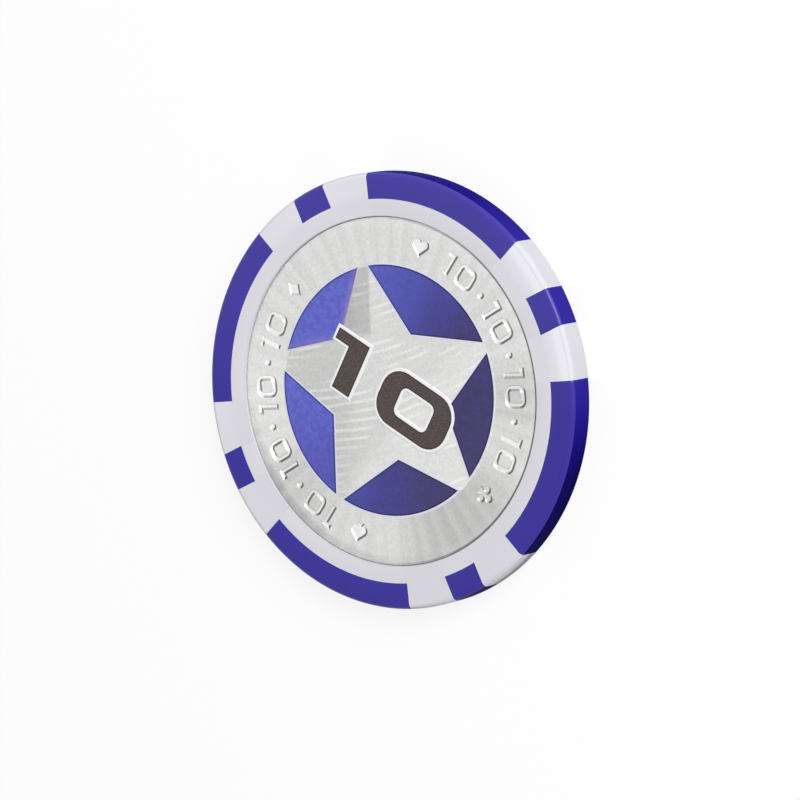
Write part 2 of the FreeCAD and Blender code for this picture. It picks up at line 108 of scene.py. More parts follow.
# the label's film, and what is pressed into its band
FILM_RADIUS = LABEL_RADIUS + 0.06 * MM
FILM_SIDES = 288
FILM_ROUND = 0.05 * MM
BAND_START = 11.1 * MM
MARK_RADIUS = (LABEL_RADIUS + BAND_START) / 2
MARK_DEPTH = 0.1 * MM
MARK_SLOPE = 0.16 * MM
MARK_LEAN = 0.095 * MM
# painted light on the pressed marks: the walls that face towards SHADED_WALLS get a painted shade, the
# other walls and the floors a painted highlight
SHADED_WALLS = math.radians(155)
PAINTED_FLOOR_HIGHLIGHT = 1.2
PAINTED_WALL_HIGHLIGHT = 1.08
PAINTED_WALL_SHADE = 0.23
BAND_TURN = math.radians(15.75)
TEN_PITCH = 5.9 * MM
TEN_COUNT = 4
BEAD_RADIUS = 0.35 * MM
CORNER_STEPS = 7  # in each quarter turn of a mark's or a digit's outline
SUIT_DISTANCE = 13.4 * MM
SUIT_WIDTH = 1.8 * MM
SUIT_STEM = 0.4 * MM
DIAMOND_WIDTH = 1.4 * MM
CLUB_LOBE_RADIUS = 0.41 * MM

# the round print: five panels, with the bare star between them
PRINT_RADIUS = 11.22 * MM
PRINT_SIDES = 216
STAR_TIP_RADIUS = 12.6 * MM
STAR_WAIST_RADIUS = 6.26 * MM
STAR_TURN = math.radians(126)
STAR_STRETCH = 1.062
STAR_POINTS = 5
PRINT_CENTRE = Vector((-0.16 * MM, 0.09 * MM, 0))
STAR_CENTRE = Vector((-0.35 * MM, 0, 0))
EDGE_LINE = 0.13 * MM
RIM_LINE = 0.14 * MM

# the numeral
NUMBER_TURN = math.radians(-29)
NUMBER_CENTRE = Vector((-0.09 * MM, -0.07 * MM, 0))
NUMBER_BORDER = 0.31 * MM
BORDER_ROUND = 0.045 * MM
NUMBER_RIM = 0.1 * MM
NUMBER_GROOVE = 0.006 * MM
INK_SPREAD = 0.035 * MM


class Digits:
    """The sizes of a one and a nought that stand side by side, centred; given in millimetres."""

    def __init__(self, height, stem, reach, flag, gap, width, side, top, corner, hole_corner):
        self.half_height = height / 2 * MM
        self.stem = stem * MM
        self.flag_reach = reach * MM
        self.flag_height = flag * MM
        self.side = side * MM
        self.top = top * MM
        self.corner = corner * MM
        self.hole_corner = hole_corner * MM
        self.left = -(reach + stem + gap + width) / 2 * MM
        self.right = -self.left
        self.zero_left = self.right - width * MM


NUMBER = Digits(
    height=5.1, stem=1.92, reach=1.62, flag=0.98, gap=2.68,
    width=7.85, side=1.97, top=1.1, corner=2.0, hole_corner=0.7,
)
SMALL_TEN = Digits(
    height=2.2, stem=0.55, reach=0.42, flag=0.5, gap=0.55,
    width=2.1, side=0.55, top=0.5, corner=0.7, hole_corner=0.2,
)


# ---------------------------------------------------------------- modelling by hand


def leave_edit_mode():
    if bpy.context.object and bpy.context.object.mode == "EDIT":
        bpy.ops.object.mode_set(mode="OBJECT")


def take(*pieces):
    """Selects these objects and nothing else, and makes the first one active."""
    leave_edit_mode()
    bpy.ops.object.select_all(action="DESELECT")
    for piece in pieces:
        piece.select_set(True)
    bpy.context.view_layer.objects.active = pieces[0]


def edit(piece, everything=False):
    """Opens a piece in edit mode, with all of it selected or nothing."""
    take(piece)
    bpy.ops.object.mode_set(mode="EDIT")
    bpy.ops.mesh.select_mode(type="FACE" if everything else "VERT")
    bpy.ops.mesh.select_all(action="SELECT" if everything else "DESELECT")


def pick(kind, test):
    """In edit mode, selects the faces, edges or corners that pass a test, and nothing else."""
    bpy.ops.mesh.select_mode(type=kind)
    bpy.ops.mesh.select_all(action="DESELECT")
    mesh = bpy.context.object.data
    shape = bmesh.from_edit_mesh(mesh)
    members = {"VERT": shape.verts, "EDGE": shape.edges, "FACE": shape.faces}[kind]
    for member in members:
        if test(member):
            member.select_set(True)
    shape.select_flush_mode()
    bmesh.update_edit_mesh(mesh)


def level(member, height):
    """Whether all of a face's or edge's corners lie at one height."""
    return all(abs(corner.co.z - height) < TINY for corner in member.verts)


def reach_of(corner):
    return math.hypot(corner.co.x, corner.co.y)


def rename(piece, name):
    piece.name = name
    piece.data.name = name
    return piece


def start(name):
    """Names the primitive that was just added, and puts its place in its mesh."""
    piece = rename(bpy.context.object, name)
    take(piece)
    bpy.ops.object.transform_apply(location=True, rotation=True, scale=True)
    return piece


def cylinder(name, radius, low, high, sides):
    bpy.ops.mesh.primitive_cylinder_add(
        vertices=sides, radius=radius, depth=high - low, location=(0, 0, (low + high) / 2)
    )
    return start(name)


def copy_of(piece, name, place):
    """Another piece with its own mesh, set at a place."""
    take(piece)
    bpy.ops.object.duplicate(linked=False)
    twin = rename(bpy.context.object, name)
    twin.data.transform(place)
    return twin


def joined(pieces, name):
    take(*pieces)
    bpy.ops.object.join()
    return rename(bpy.context.object, name)


def modify(piece, kind, **settings):
    """Adds a modifier to a piece and applies it."""
    take(piece)
    modifier = piece.modifiers.new(kind.lower(), kind)
    for setting, value in settings.items():
        setattr(modifier, setting, value)
    bpy.ops.object.modifier_apply(modifier=modifier.name)


def cut(piece, tool, overlaps=False):
    """Cuts a tool's shape out of a piece, and puts the tool away."""
    modify(piece, "BOOLEAN", operation="DIFFERENCE", object=tool, solver="EXACT", use_self=overlaps)
    bpy.data.objects.remove(tool)


def close_up(piece):
    """Merges a piece's doubles and turns its faces outwards."""
    edit(piece, everything=True)
    bpy.ops.mesh.remove_doubles(threshold=TINY / 10)
    bpy.ops.mesh.normals_make_consistent(inside=False)
    leave_edit_mode()


def smooth(piece, angle=35):
    """Shades round stretches smooth and keeps flat faces flat."""
    take(piece)
    bpy.ops.object.shade_smooth_by_angle(angle=math.radians(angle))
    modify(piece, "WEIGHTED_NORMAL", keep_sharp=True, weight=80)


def turned(angle):
    return Matrix.Rotation(angle, 4, "Z")


def turned_over():
    """Takes a piece of the front face to the back."""
    return Matrix.Translation((0, 0, THICKNESS)) @ Matrix.Rotation(math.pi, 4, "X")


def coat(piece, materials):
    """Gives a piece its materials, in the order that its faces count them."""
    for material in materials:
        piece.data.materials.append(material)


def ride(piece, node):
    """Ends a piece: it stands for a CAD node and moves with the chip."""
    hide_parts(node)
    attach(piece, "root")


def place_on_sides(pattern, name, kind, finishes):
    """Puts a layer of the label on both faces; the pattern has the front's materials."""
    for side in SIDES:
        place = Matrix() if side == "front" else turned_over()
        piece = copy_of(pattern, f"{side}_{name}", place)
        for index, material in enumerate(pattern.data.materials):
            piece.data.materials[index] = finishes[side][finishes["front"].index(material)]
        ride(piece, f"{side}_{kind}")
    bpy.data.objects.remove(pattern)


# ---------------------------------------------------------------- the moulded disc


def upright_section(name, reach, low, high):
    """A rectangle that stands on +X, from the back wall of a block's pocket out to a reach."""
    bpy.ops.mesh.primitive_plane_add(
        size=1, location=((BLOCK_RADIUS + reach) / 2, 0, (low + high) / 2), rotation=(math.pi / 2, 0, 0)
    )
    bpy.context.object.scale = (reach - BLOCK_RADIUS, high - low, 1)
    return start(name)


def block_section(name):
    """A block's section: flat faces, and its two outer corners rounded."""
    section = upright_section(name, RIM_RADIUS, 0, THICKNESS)
    edit(section)
    pick("VERT", lambda corner: corner.co.x > BLOCK_RADIUS + TINY)
    bpy.ops.mesh.bevel(affect="VERTICES", offset=RIM_ROUND, segments=RIM_SEGMENTS, profile=0.5)
    leave_edit_mode()
    return section


def cutter_section():
    """The section of a tool that cuts a block's gap: taller than the chip, and past its rim."""
    return upright_section("block_cutter", RIM_RADIUS + CUT_PAST, -CUT_PAST, THICKNESS + CUT_PAST)


def spun(section, span, steps):
    """Sweeps a section round the chip's axis, and centres it on +X whichever way the spin went."""
    edit(section, everything=True)
    bpy.ops.mesh.spin(steps=steps, angle=span, center=(0, 0, 0), axis=(0, 0, 1))
    close_up(section)
    corners = [vertex.co for vertex in section.data.vertices]
    middle = sum(corners, Vector()) / len(corners)
    section.data.transform(turned(-math.atan2(middle.y, middle.x)))
    return section


def spun_long(section):
    """A section swept to a long block."""
    return spun(section, LONG_SPAN, LONG_STEPS)


def spun_short(section, sweep):
    """A section swept to more than a short block, then cut down to two sides parallel to X."""
    piece = spun(section, sweep, SHORT_STEPS)
    for side in (1, -1):
        edit(piece, everything=True)
        bpy.ops.mesh.bisect(
            plane_co=(0, side * SHORT_WIDTH / 2, 0), plane_no=(0, side, 0),
            use_fill=True, clear_outer=True, threshold=TINY / 10,
        )
    close_up(piece)
    return piece


def make_blocks(kind, pattern, finishes):
    """Finishes a block, upright faces apart from the rest, and copies it to its four places."""
    modify(pattern, "BEVEL", width=SEAM, segments=2, limit_method="ANGLE", angle_limit=math.radians(40))
    smooth(pattern)
    coat(pattern, finishes)
    for face in pattern.data.polygons:
        upright = abs(face.normal.z) < 0.35
        face.material_index = int(upright)
    for index in range(1, QUARTERS + 1):
        node = f"{kind}_block_{index}"
        block = copy_of(pattern, f"edge_{node}", turned(middle_angle(node)))
        ride(block, node)
    bpy.data.objects.remove(pattern)


def make_long_blocks(finishes):
    make_blocks("long", spun_long(block_section("long_block")), finishes)


def make_short_blocks(finishes):
    make_blocks("short", spun_short(block_section("short_block"), SHORT_SWEEP), finishes)


def gap_cutters():
    """One tool that cuts the gaps for all eight blocks."""
    patterns = {
        "long": spun_long(cutter_section()),
        "short": spun_short(cutter_section(), SHORT_CUTTER_SWEEP),
    }
    cutters = []
    for kind, pattern in patterns.items():
        for index in range(1, QUARTERS + 1):
            place = turned(middle_angle(f"{kind}_block_{index}"))
            cutters.append(copy_of(pattern, "block_cutter", place))
        bpy.data.objects.remove(pattern)
    return joined(cutters, "block_cutters")


def sink_recess(surface, floor):
    """In edit mode, sinks the label's recess from one face of the disc, and rounds its mouth."""
    pick("FACE", lambda face: level(face, surface) and len(face.verts) > 4)
    bpy.ops.mesh.inset(thickness=RIM_RADIUS - RIM_ROUND - RECESS_RADIUS, depth=0)
    bpy.ops.mesh.extrude_region_move(TRANSFORM_OT_translate={"value": (0, 0, floor - surface)})
    pick(
        "EDGE",
        lambda edge: level(edge, surface) and all(reach_of(end) < BLOCK_RADIUS for end in edge.verts),
    )
    bpy.ops.mesh.bevel(affect="EDGES", offset=MOUTH_ROUND, segments=4, profile=0.5)


def make_white_body(material):
    """A cylinder with rounded rim edges, a recess in each face and gaps for the eight blocks."""
    disc = cylinder("moulded_disc", RIM_RADIUS, 0, THICKNESS, BODY_SIDES)
    edit(disc)
    pick("EDGE", lambda edge: level(edge, 0) or level(edge, THICKNESS))
    bpy.ops.mesh.bevel(affect="EDGES", offset=RIM_ROUND, segments=RIM_SEGMENTS, profile=0.5)
    sink_recess(0, THICKNESS - RECESS_FLOOR)
    sink_recess(THICKNESS, RECESS_FLOOR)
    leave_edit_mode()
    cut(disc, gap_cutters())
    smooth(disc)
    coat(disc, [material])
    ride(disc, "white_body")


# ---------------------------------------------------------------- outlines of the marks and digits


def flat_box(left, right, low, high, corner=0):
    """A flat rectangle at height 0, face up, with its corners rounded if a radius is given."""
    bpy.ops.mesh.primitive_plane_add(size=1, location=((left + right) / 2, (low + high) / 2, 0))
    bpy.context.object.scale = (right - left, high - low, 1)
    piece = start("outline")
    if corner:
        edit(piece, everything=True)
        bpy.ops.mesh.bevel(affect="VERTICES", offset=corner, segments=CORNER_STEPS, profile=0.5)
        leave_edit_mode()
    return piece


def flat_round(radius, x=0, y=0):
    bpy.ops.mesh.primitive_circle_add(
        vertices=4 * CORNER_STEPS, radius=radius, fill_type="NGON", location=(x, y, 0)
    )
    return start("outline")


def flat_diamond(half_width, half_height, y=0):
    bpy.ops.mesh.primitive_circle_add(vertices=4, radius=1, fill_type="NGON", location=(0, y, 0))
    bpy.context.object.scale = (half_width, half_height, 1)
    return start("outline")


def flat_one(digits, grow):
    """The digit one: a stem, and a square flag to the left at its top."""
    stem_left = digits.left + digits.flag_reach - grow
    stem_right = digits.left + digits.flag_reach + digits.stem + grow
    high = digits.half_height + grow
    flag_low = digits.half_height - digits.flag_height - grow
    piece = flat_box(stem_left, stem_right, -high, high)
    edit(piece, everything=True)
    bpy.ops.mesh.bisect(plane_co=(0, flag_low, 0), plane_no=(0, 1, 0), threshold=TINY / 10)
    pick(
        "EDGE",
        lambda edge: all(
            abs(end.co.x - stem_left) < TINY and end.co.y > flag_low - TINY for end in edge.verts
        ),
    )
    bpy.ops.mesh.extrude_edges_move(TRANSFORM_OT_translate={"value": (-digits.flag_reach, 0, 0)})
    bpy.ops.mesh.select_all(action="SELECT")
    bpy.ops.mesh.dissolve_limited(angle_limit=math.radians(1))
    leave_edit_mode()
    return piece


def flat_zero(digits, grow, with_hole):
    """The digit nought: a rounded rectangle, bridged to its hole's rounded rectangle."""
    left, right = digits.zero_left - grow, digits.right + grow
    high = digits.half_height + grow
    outside = flat_box(left, right, -high, high, digits.corner + grow)
    if not with_hole:
        return outside
    hole = flat_box(
        digits.zero_left + digits.side + grow,
        digits.right - digits.side - grow,
        -digits.half_height + digits.top + grow,
        digits.half_height - digits.top - grow,
        digits.hole_corner - grow,
    )
    ring = joined([outside, hole], "outline")
    edit(ring, everything=True)
    bpy.ops.mesh.delete(type="ONLY_FACE")
    bpy.ops.mesh.select_all(action="SELECT")
    bpy.ops.mesh.bridge_edge_loops()
    leave_edit_mode()
    return ring


def flat_ten(digits, grow=0, with_hole=True):
    """The outlines of both digits, a one and a nought."""
    return flat_one(digits, grow), flat_zero(digits, grow, with_hole)


def face_up(piece, up=True):
    """Turns a flat outline's faces up, or down."""
    edit(piece, everything=True)
    bpy.ops.mesh.normals_make_consistent(inside=False)
    leave_edit_mode()
    if (piece.data.polygons[0].normal.z > 0) != up:
        piece.data.flip_normals()


# ---------------------------------------------------------------- the foil label


def sink(outline):
    """Makes a flat outline the tool that presses it into the film at the top of the marks' circle."""
    lift = 0.05 * MM
    face_up(outline, up=False)
    outline.data.transform(Matrix.Translation((0, MARK_RADIUS, FILM_TOP + lift)))
    edit(outline, everything=True)
    bpy.ops.mesh.extrude_region_move(TRANSFORM_OT_translate={"value": (0, 0, -lift)})
    bpy.ops.mesh.inset(thickness=MARK_SLOPE, depth=MARK_DEPTH, use_even_offset=True)
    close_up(outline)
    return outline


def flat_stem(high):
    """A spade's or club's stem, half as wide at its neck as at its foot."""
    low = -SUIT_WIDTH / 2
    stem = flat_box(-SUIT_STEM, SUIT_STEM, low, high)
    edit(stem)
    pick("VERT", lambda corner: corner.co.y > high - TINY)
    bpy.ops.transform.resize(value=(0.5, 1, 1))
    leave_edit_mode()
    return stem


def heart_outlines(up, y=0):
    """A square on its corner with a round on each upper side; up is -1 for a spade's leaf."""
    half = SUIT_WIDTH / (1 + math.sqrt(2))
    lobe = half / math.sqrt(2)
    return [
        flat_diamond(half, half, y),
        flat_round(lobe, half / 2, y + up * half / 2),
        flat_round(lobe, -half / 2, y + up * half / 2),
    ]


def suit_tools():
    """The four suits' tools by name, each with +Y outwards on the marks' circle."""
    lobe = CLUB_LOBE_RADIUS
    aside = SUIT_WIDTH / 2 - lobe
    outlines = {
        "heart": heart_outlines(1),
        "diamond": [flat_diamond(DIAMOND_WIDTH / 2, SUIT_WIDTH / 2)],
        "spade": heart_outlines(-1, SUIT_STEM / 2) + [flat_stem(0)],
        "club": [
            flat_round(lobe, aside, -lobe / 2),
            flat_round(lobe, -aside, -lobe / 2),
            flat_round(lobe, 0, lobe),
            flat_stem(lobe),
        ],
    }
    return {name: joined([sink(outline) for outline in parts], name) for name, parts in outlines.items()}


def mark_place(distance):
    """Turns a tool drawn on +Y to a distance round the band from the first arc's middle."""
    return turned(BAND_TURN + distance / MARK_RADIUS - math.pi / 2)


def lean_floors(tools):
    """Moves the marks' floors to one side, so that their walls are broad on the other."""
    edit(tools)
    pick("VERT", lambda corner: abs(corner.co.z - (FILM_TOP - MARK_DEPTH)) < TINY)
    aside = Vector((math.cos(SHADED_WALLS), math.sin(SHADED_WALLS), 0)) * MARK_LEAN
    bpy.ops.transform.translate(value=aside)
    leave_edit_mode()


def band_tools():
    """All that is pressed into the label: two arcs of small tens and beads, and four suits."""
    ten = joined([sink(outline) for outline in flat_ten(SMALL_TEN)], "ten")
    bead = sink(flat_round(BEAD_RADIUS))
    suits = suit_tools()
    half_turn = math.pi * MARK_RADIUS
    tools = []
    for middle in (0, half_turn):
        for tool, count in ((ten, TEN_COUNT), (bead, TEN_COUNT - 1)):
            for index in range(count):
                distance = middle + (index - (count - 1) / 2) * TEN_PITCH
                tools.append(copy_of(tool, "mark", mark_place(distance)))
    distances = {
        "heart": SUIT_DISTANCE,
        "diamond": half_turn - SUIT_DISTANCE,
        "spade": half_turn + SUIT_DISTANCE,
        "club": -SUIT_DISTANCE,
    }
    for suit, distance in distances.items():
        tools.append(copy_of(suits[suit], "mark", mark_place(distance)))
    for pattern in (ten, bead, *suits.values()):
        bpy.data.objects.remove(pattern)
    whole = joined(tools, "band_tools")
    lean_floors(whole)
    return whole


def painted_mark_light(normal, centre):
    """The painted light on one face of the film: 1 where nothing is pressed in, a painted highlight on
    the marks' floors and lit walls, and painted shade on the walls that face SHADED_WALLS.
    """
    beyond_marks = math.hypot(centre.x, centre.y) > LABEL_RADIUS - 0.1 * MM
    if beyond_marks:
        return 1
    slope = math.hypot(normal.x, normal.y)
    on_wall = slope > 0.2 and normal.z > 0.2
    if on_wall:
        facing = (normal.x * math.cos(SHADED_WALLS) + normal.y * math.sin(SHADED_WALLS)) / slope
        shade_share = min(max((facing - 0.2) / 0.5, 0), 1)
        return PAINTED_WALL_HIGHLIGHT + (PAINTED_WALL_SHADE - PAINTED_WALL_HIGHLIGHT) * shade_share
    on_floor = FILM_BOTTOM + TINY < centre.z < FILM_TOP - MARK_DEPTH / 2
    return PAINTED_FLOOR_HIGHLIGHT if on_floor else 1


def paint_mark_light(film):
    """Stores the painted light of each face in the tone attribute: a painted highlight on the marks'
    floors and on the walls that face away from SHADED_WALLS, and painted shade on the broad walls that
    face towards it.
    """
    tone = film.data.attributes.new("tone", "FLOAT", "FACE")
    for face, entry in zip(film.data.polygons, tone.data):
        entry.value = painted_mark_light(face.normal, face.center)


def make_labels(finishes):
    """A thin disc with a rounded edge and the marks pressed in, cleaned of the slivers they leave."""
    film = cylinder("film", FILM_RADIUS, FILM_BOTTOM, FILM_TOP, FILM_SIDES)
    edit(film)
    pick("EDGE", lambda edge: level(edge, FILM_TOP))
    bpy.ops.mesh.bevel(affect="EDGES", offset=FILM_ROUND, segments=3, profile=0.5)
    leave_edit_mode()
    cut(film, band_tools(), overlaps=True)
    modify(film, "TRIANGULATE", ngon_method="BEAUTY", min_vertices=5)
    edit(film, everything=True)
    bpy.ops.mesh.dissolve_degenerate(threshold=TINY / 10)
    leave_edit_mode()
    smooth(film, angle=20)
    paint_mark_light(film)
    coat(film, finishes["front"])
    place_on_sides(film, "label_film", "label", finishes)


# ---------------------------------------------------------------- the star and the numeral


def star_corner(step):
    """The star's corners in order, tips at even steps and waists at odd ones."""
    radius = STAR_WAIST_RADIUS if step % 2 else STAR_TIP_RADIUS
    angle = STAR_TURN + step * math.pi / STAR_POINTS
    corner = Vector((radius * math.cos(angle) * STAR_STRETCH, radius * math.sin(angle) / STAR_STRETCH, 0))
    return STAR_CENTRE + turned(NUMBER_TURN) @ corner


def make_slab(index, grow, low, high, material):
    """One panel, grown or shrunk: the round print less all on the star's side of two of its edges."""
    piece = cylinder("slab", PRINT_RADIUS + grow, low, high, PRINT_SIDES)
    piece.data.transform(Matrix.Translation(PRINT_CENTRE))
    waist = star_corner(2 * index + 1)
    for tip, sense in ((star_corner(2 * index), 1), (star_corner(2 * index + 2), -1)):
        along = (tip - waist).normalized()
        away = Vector((-along.y, along.x, 0)) * sense
        edit(piece, everything=True)
        bpy.ops.mesh.bisect(
            plane_co=waist - away * grow, plane_no=away,
            use_fill=True, clear_inner=True, threshold=TINY / 10,
        )
    close_up(piece)
    coat(piece, [material])
    return piece


def make_panel(index, lacquer, pale_line, dark_line):
    """A panel in three fine terraces: a pale line at the edge, a dark one inside it, and the lacquer."""
    fifth = (PANEL_TOP - FILM_TOP) / 5
    return joined(
        [
            make_slab(index, EDGE_LINE, FILM_TOP, FILM_TOP + 2 * fifth, pale_line),
            make_slab(index, 0, FILM_TOP + fifth, FILM_TOP + 4 * fifth, dark_line),
            make_slab(index, -RIM_LINE, FILM_TOP + 3 * fifth, PANEL_TOP, lacquer),
        ],
        "panel",
    )


def number_place(height):
    """Turns an outline to the numeral's line, at a height."""
    return Matrix.Translation(NUMBER_CENTRE + Vector((0, 0, height))) @ turned(NUMBER_TURN)


def raised(outline, low, high):
    """Makes a flat outline a layer between two heights, turned to the numeral's line."""
    face_up(outline)
    outline.data.transform(number_place(low))
    edit(outline, everything=True)
    bpy.ops.mesh.extrude_region_move(TRANSFORM_OT_translate={"value": (0, 0, high - low)})
    leave_edit_mode()
    return outline


def make_star_panels(finishes):
    """The five panels, with the numeral's place cut out of them."""
    panels = [make_panel(index, *finishes["front"]) for index in range(STAR_POINTS)]
    panels = joined(panels, "star_panels")
    for outline in flat_ten(NUMBER, NUMBER_BORDER, with_hole=False):
        digit = raised(outline, FILM_TOP - CUT_PAST, FILM_TOP + CUT_PAST)
        close_up(digit)
        cut(panels, digit, overlaps=True)
    smooth(panels)
    place_on_sides(panels, "star_print", "star_panels", finishes)


def make_number_borders(finishes):
    """The digits' pale borders, with their upper edges rounded."""
    digits = [raised(outline, FILM_TOP, BORDER_TOP) for outline in flat_ten(NUMBER, NUMBER_BORDER)]
    border = joined(digits, "border")
    close_up(border)
    coat(border, finishes["front"])
    edit(border)
    pick("EDGE", lambda edge: level(edge, BORDER_TOP) and edge.calc_face_angle(0) > math.radians(60))
    bpy.ops.mesh.bevel(affect="EDGES", offset=BORDER_ROUND, segments=4, profile=0.5)
    leave_edit_mode()
    smooth(border)
    place_on_sides(border, "numeral_border", "number_border", finishes)


def make_numbers(finishes):
    """The dark digits: flat on top, with a darker rim that is very slightly lower."""
    shoulder = NUMBER_TOP - NUMBER_GROOVE
    digits = [raised(outline, BORDER_TOP, shoulder) for outline in flat_ten(NUMBER, INK_SPREAD)]
    for digit in digits:
        edit(digit)
        pick("FACE", lambda face: level(face, shoulder))
        bpy.ops.mesh.inset(thickness=NUMBER_RIM, depth=NUMBER_GROOVE, use_even_offset=True)
        leave_edit_mode()
        coat(digit, finishes["front"])
        for face in digit.data.polygons:
            on_rim = face.center.z < NUMBER_TOP - TINY
            face.material_index = int(on_rim)
    number = joined(digits, "number")
    close_up(number)
    smooth(number)
    place_on_sides(number, "numeral", "number", finishes)


# ---------------------------------------------------------------- shader maths


class Socket:
    """A value or colour of a material that takes part in Python arithmetic."""

    def __init__(self, paint, socket):
        self.paint = paint
        self.socket = socket

    def __add__(self, other):
        return self.paint.maths("ADD", self, other)

    def __radd__(self, other):
        return self.paint.maths("ADD", other, self)

    def __sub__(self, other):
        return self.paint.maths("SUBTRACT", self, other)

    def __rsub__(self, other):
        return self.paint.maths("SUBTRACT", other, self)

    def __mul__(self, other):
        return self.paint.maths("MULTIPLY", self, other)

    def __rmul__(self, other):
        return self.paint.maths("MULTIPLY", other, self)

    def __truediv__(self, other):
        return self.paint.maths("DIVIDE", self, other)

    def __rtruediv__(self, other):
        return self.paint.maths("DIVIDE", other, self)


def set_stops(ramp, stops):
    """Gives a ramp its positions and colours."""
    while len(ramp.elements) < len(stops):
        ramp.elements.new(1)
    for element, (position, colour) in zip(ramp.elements, stops):
        element.position = position
        element.color = (*colour, 1)


class Paint:
    """A material, or the world, whose nodes are added one call at a time."""

    def __init__(self, owner):
        self.owner = owner
        owner.use_nodes = True
        self.tree = owner.node_tree
        self.tree.nodes.clear()

    def node(self, kind, settings=None, inputs=None, output=0):
        """Adds a node: its settings or a ramp's stops first, then its sockets' values or links."""
        node = self.tree.nodes.new("ShaderNode" + kind)
        for setting, value in (settings or {}).items():
            if setting == "stops":
                set_stops(node.color_ramp, value)
            else:
                setattr(node, setting, value)
        for name, value in (inputs or {}).items():
            if isinstance(value, Socket):
                self.tree.links.new(value.socket, node.inputs[name])
            else:
                node.inputs[name].default_value = value
        return Socket(self, node.outputs[output] if len(node.outputs) else None)

    def maths(self, operation, first, second=0.0):
        return self.node("Math", {"operation": operation}, {0: first, 1: second})

    def place(self, side="front"):
        """Object coordinates, in which the back's print is the same as the front's."""
        here = self.node("TexCoord", output="Object")
        if side == "front":
            return here
        return self.node(
            "Mapping", inputs={"Vector": here, "Location": (0, 0, THICKNESS), "Rotation": (math.pi, 0, 0)}
        )

    def split(self, vector, axes="XY"):
        """The X and Y of a vector, or the axes that are asked for."""
        return [self.node("SeparateXYZ", inputs={0: vector}, output=axis) for axis in axes]

    def join(self, x=0.0, y=0.0, z=0.0):
        return self.node("CombineXYZ", inputs={"X": x, "Y": y, "Z": z})

    def reach(self, x, y):
        """The distance from the chip's axis."""
        return self.maths("SQRT", x * x + y * y)

    def lean_toward(self, x, y, turn):
        """1 towards a turn in degrees about the chip's axis, 0 square to it, -1 on the far side."""
        turn = math.radians(turn)
        return (x * math.cos(turn) + y * math.sin(turn)) / self.reach(x, y)

    def glance(self, x, y, turn, width):
        """1 towards a turn about the chip's axis, fading to 0 over a width to both sides; in degrees."""
        return self.step(self.lean_toward(x, y, turn), math.cos(math.radians(width)), 1.0)

    def step(self, value, low, high):
        """0 below low, 1 above high, and smooth between them; the other way round if high is less."""
        return self.node(
            "MapRange",
            {"interpolation_type": "SMOOTHSTEP"},
            {"Value": value, "From Min": low, "From Max": high},
        )

    def noise(self, vector, scale, detail=3.0, roughness=0.5, distortion=0.0):
        """Cloudy noise about 0.5; scale counts its features in a metre."""
        return self.node(
            "TexNoise",
            inputs={
                "Vector": vector,
                "Scale": scale,
                "Detail": detail,
                "Roughness": roughness,
                "Distortion": distortion,
            },
        )

    def cells(self, vector, scale):
        """The distance to the nearest of a field of scattered points."""
        return self.node("TexVoronoi", inputs={"Vector": vector, "Scale": scale})

    def mix(self, share, first, second):
        """A colour between two, which are worked out or three numbers; 6, 7 and 2 are colour sockets."""
        first, second = ((*end, 1) if isinstance(end, tuple) else end for end in (first, second))
        return self.node("Mix", {"data_type": "RGBA"}, {0: share, 6: first, 7: second}, output=2)

    def shade(self, colour, factor):
        """A colour times a value."""
        return self.node("VectorMath", {"operation": "SCALE"}, {0: colour, "Scale": factor})

    def bump(self, height, distance, strength):
        return self.node("Bump", inputs={"Height": height, "Distance": distance, "Strength": strength})

    def output(self, surface, kind="OutputMaterial"):
        """Ends the nodes with a surface, and gives back what they belong to."""
        self.node(kind, inputs={"Surface": surface})
        return self.owner

    def finish(self, **inputs):
        """Ends the material with a surface whose sockets are given by name, with _ for a space."""
        named = {name.replace("_", " "): value for name, value in inputs.items()}
        return self.output(self.node("BsdfPrincipled", inputs=named))


def new_paint(name):
    return Paint(bpy.data.materials.new(name))


# ---------------------------------------------------------------- the plastics


def moulded(paint, here):
    """Moulded plastic's grain, the bump of its grain and rubs, and how much the rubs roughen it."""
    grain = paint.noise(here, 9000, detail=2.0)
    rubs = paint.noise(here, 2600, detail=5.0, roughness=0.7, distortion=1.2)
    return grain, paint.bump(0.7 * grain + 0.3 * rubs, 0.012 * MM, 0.5), 0.16 * rubs


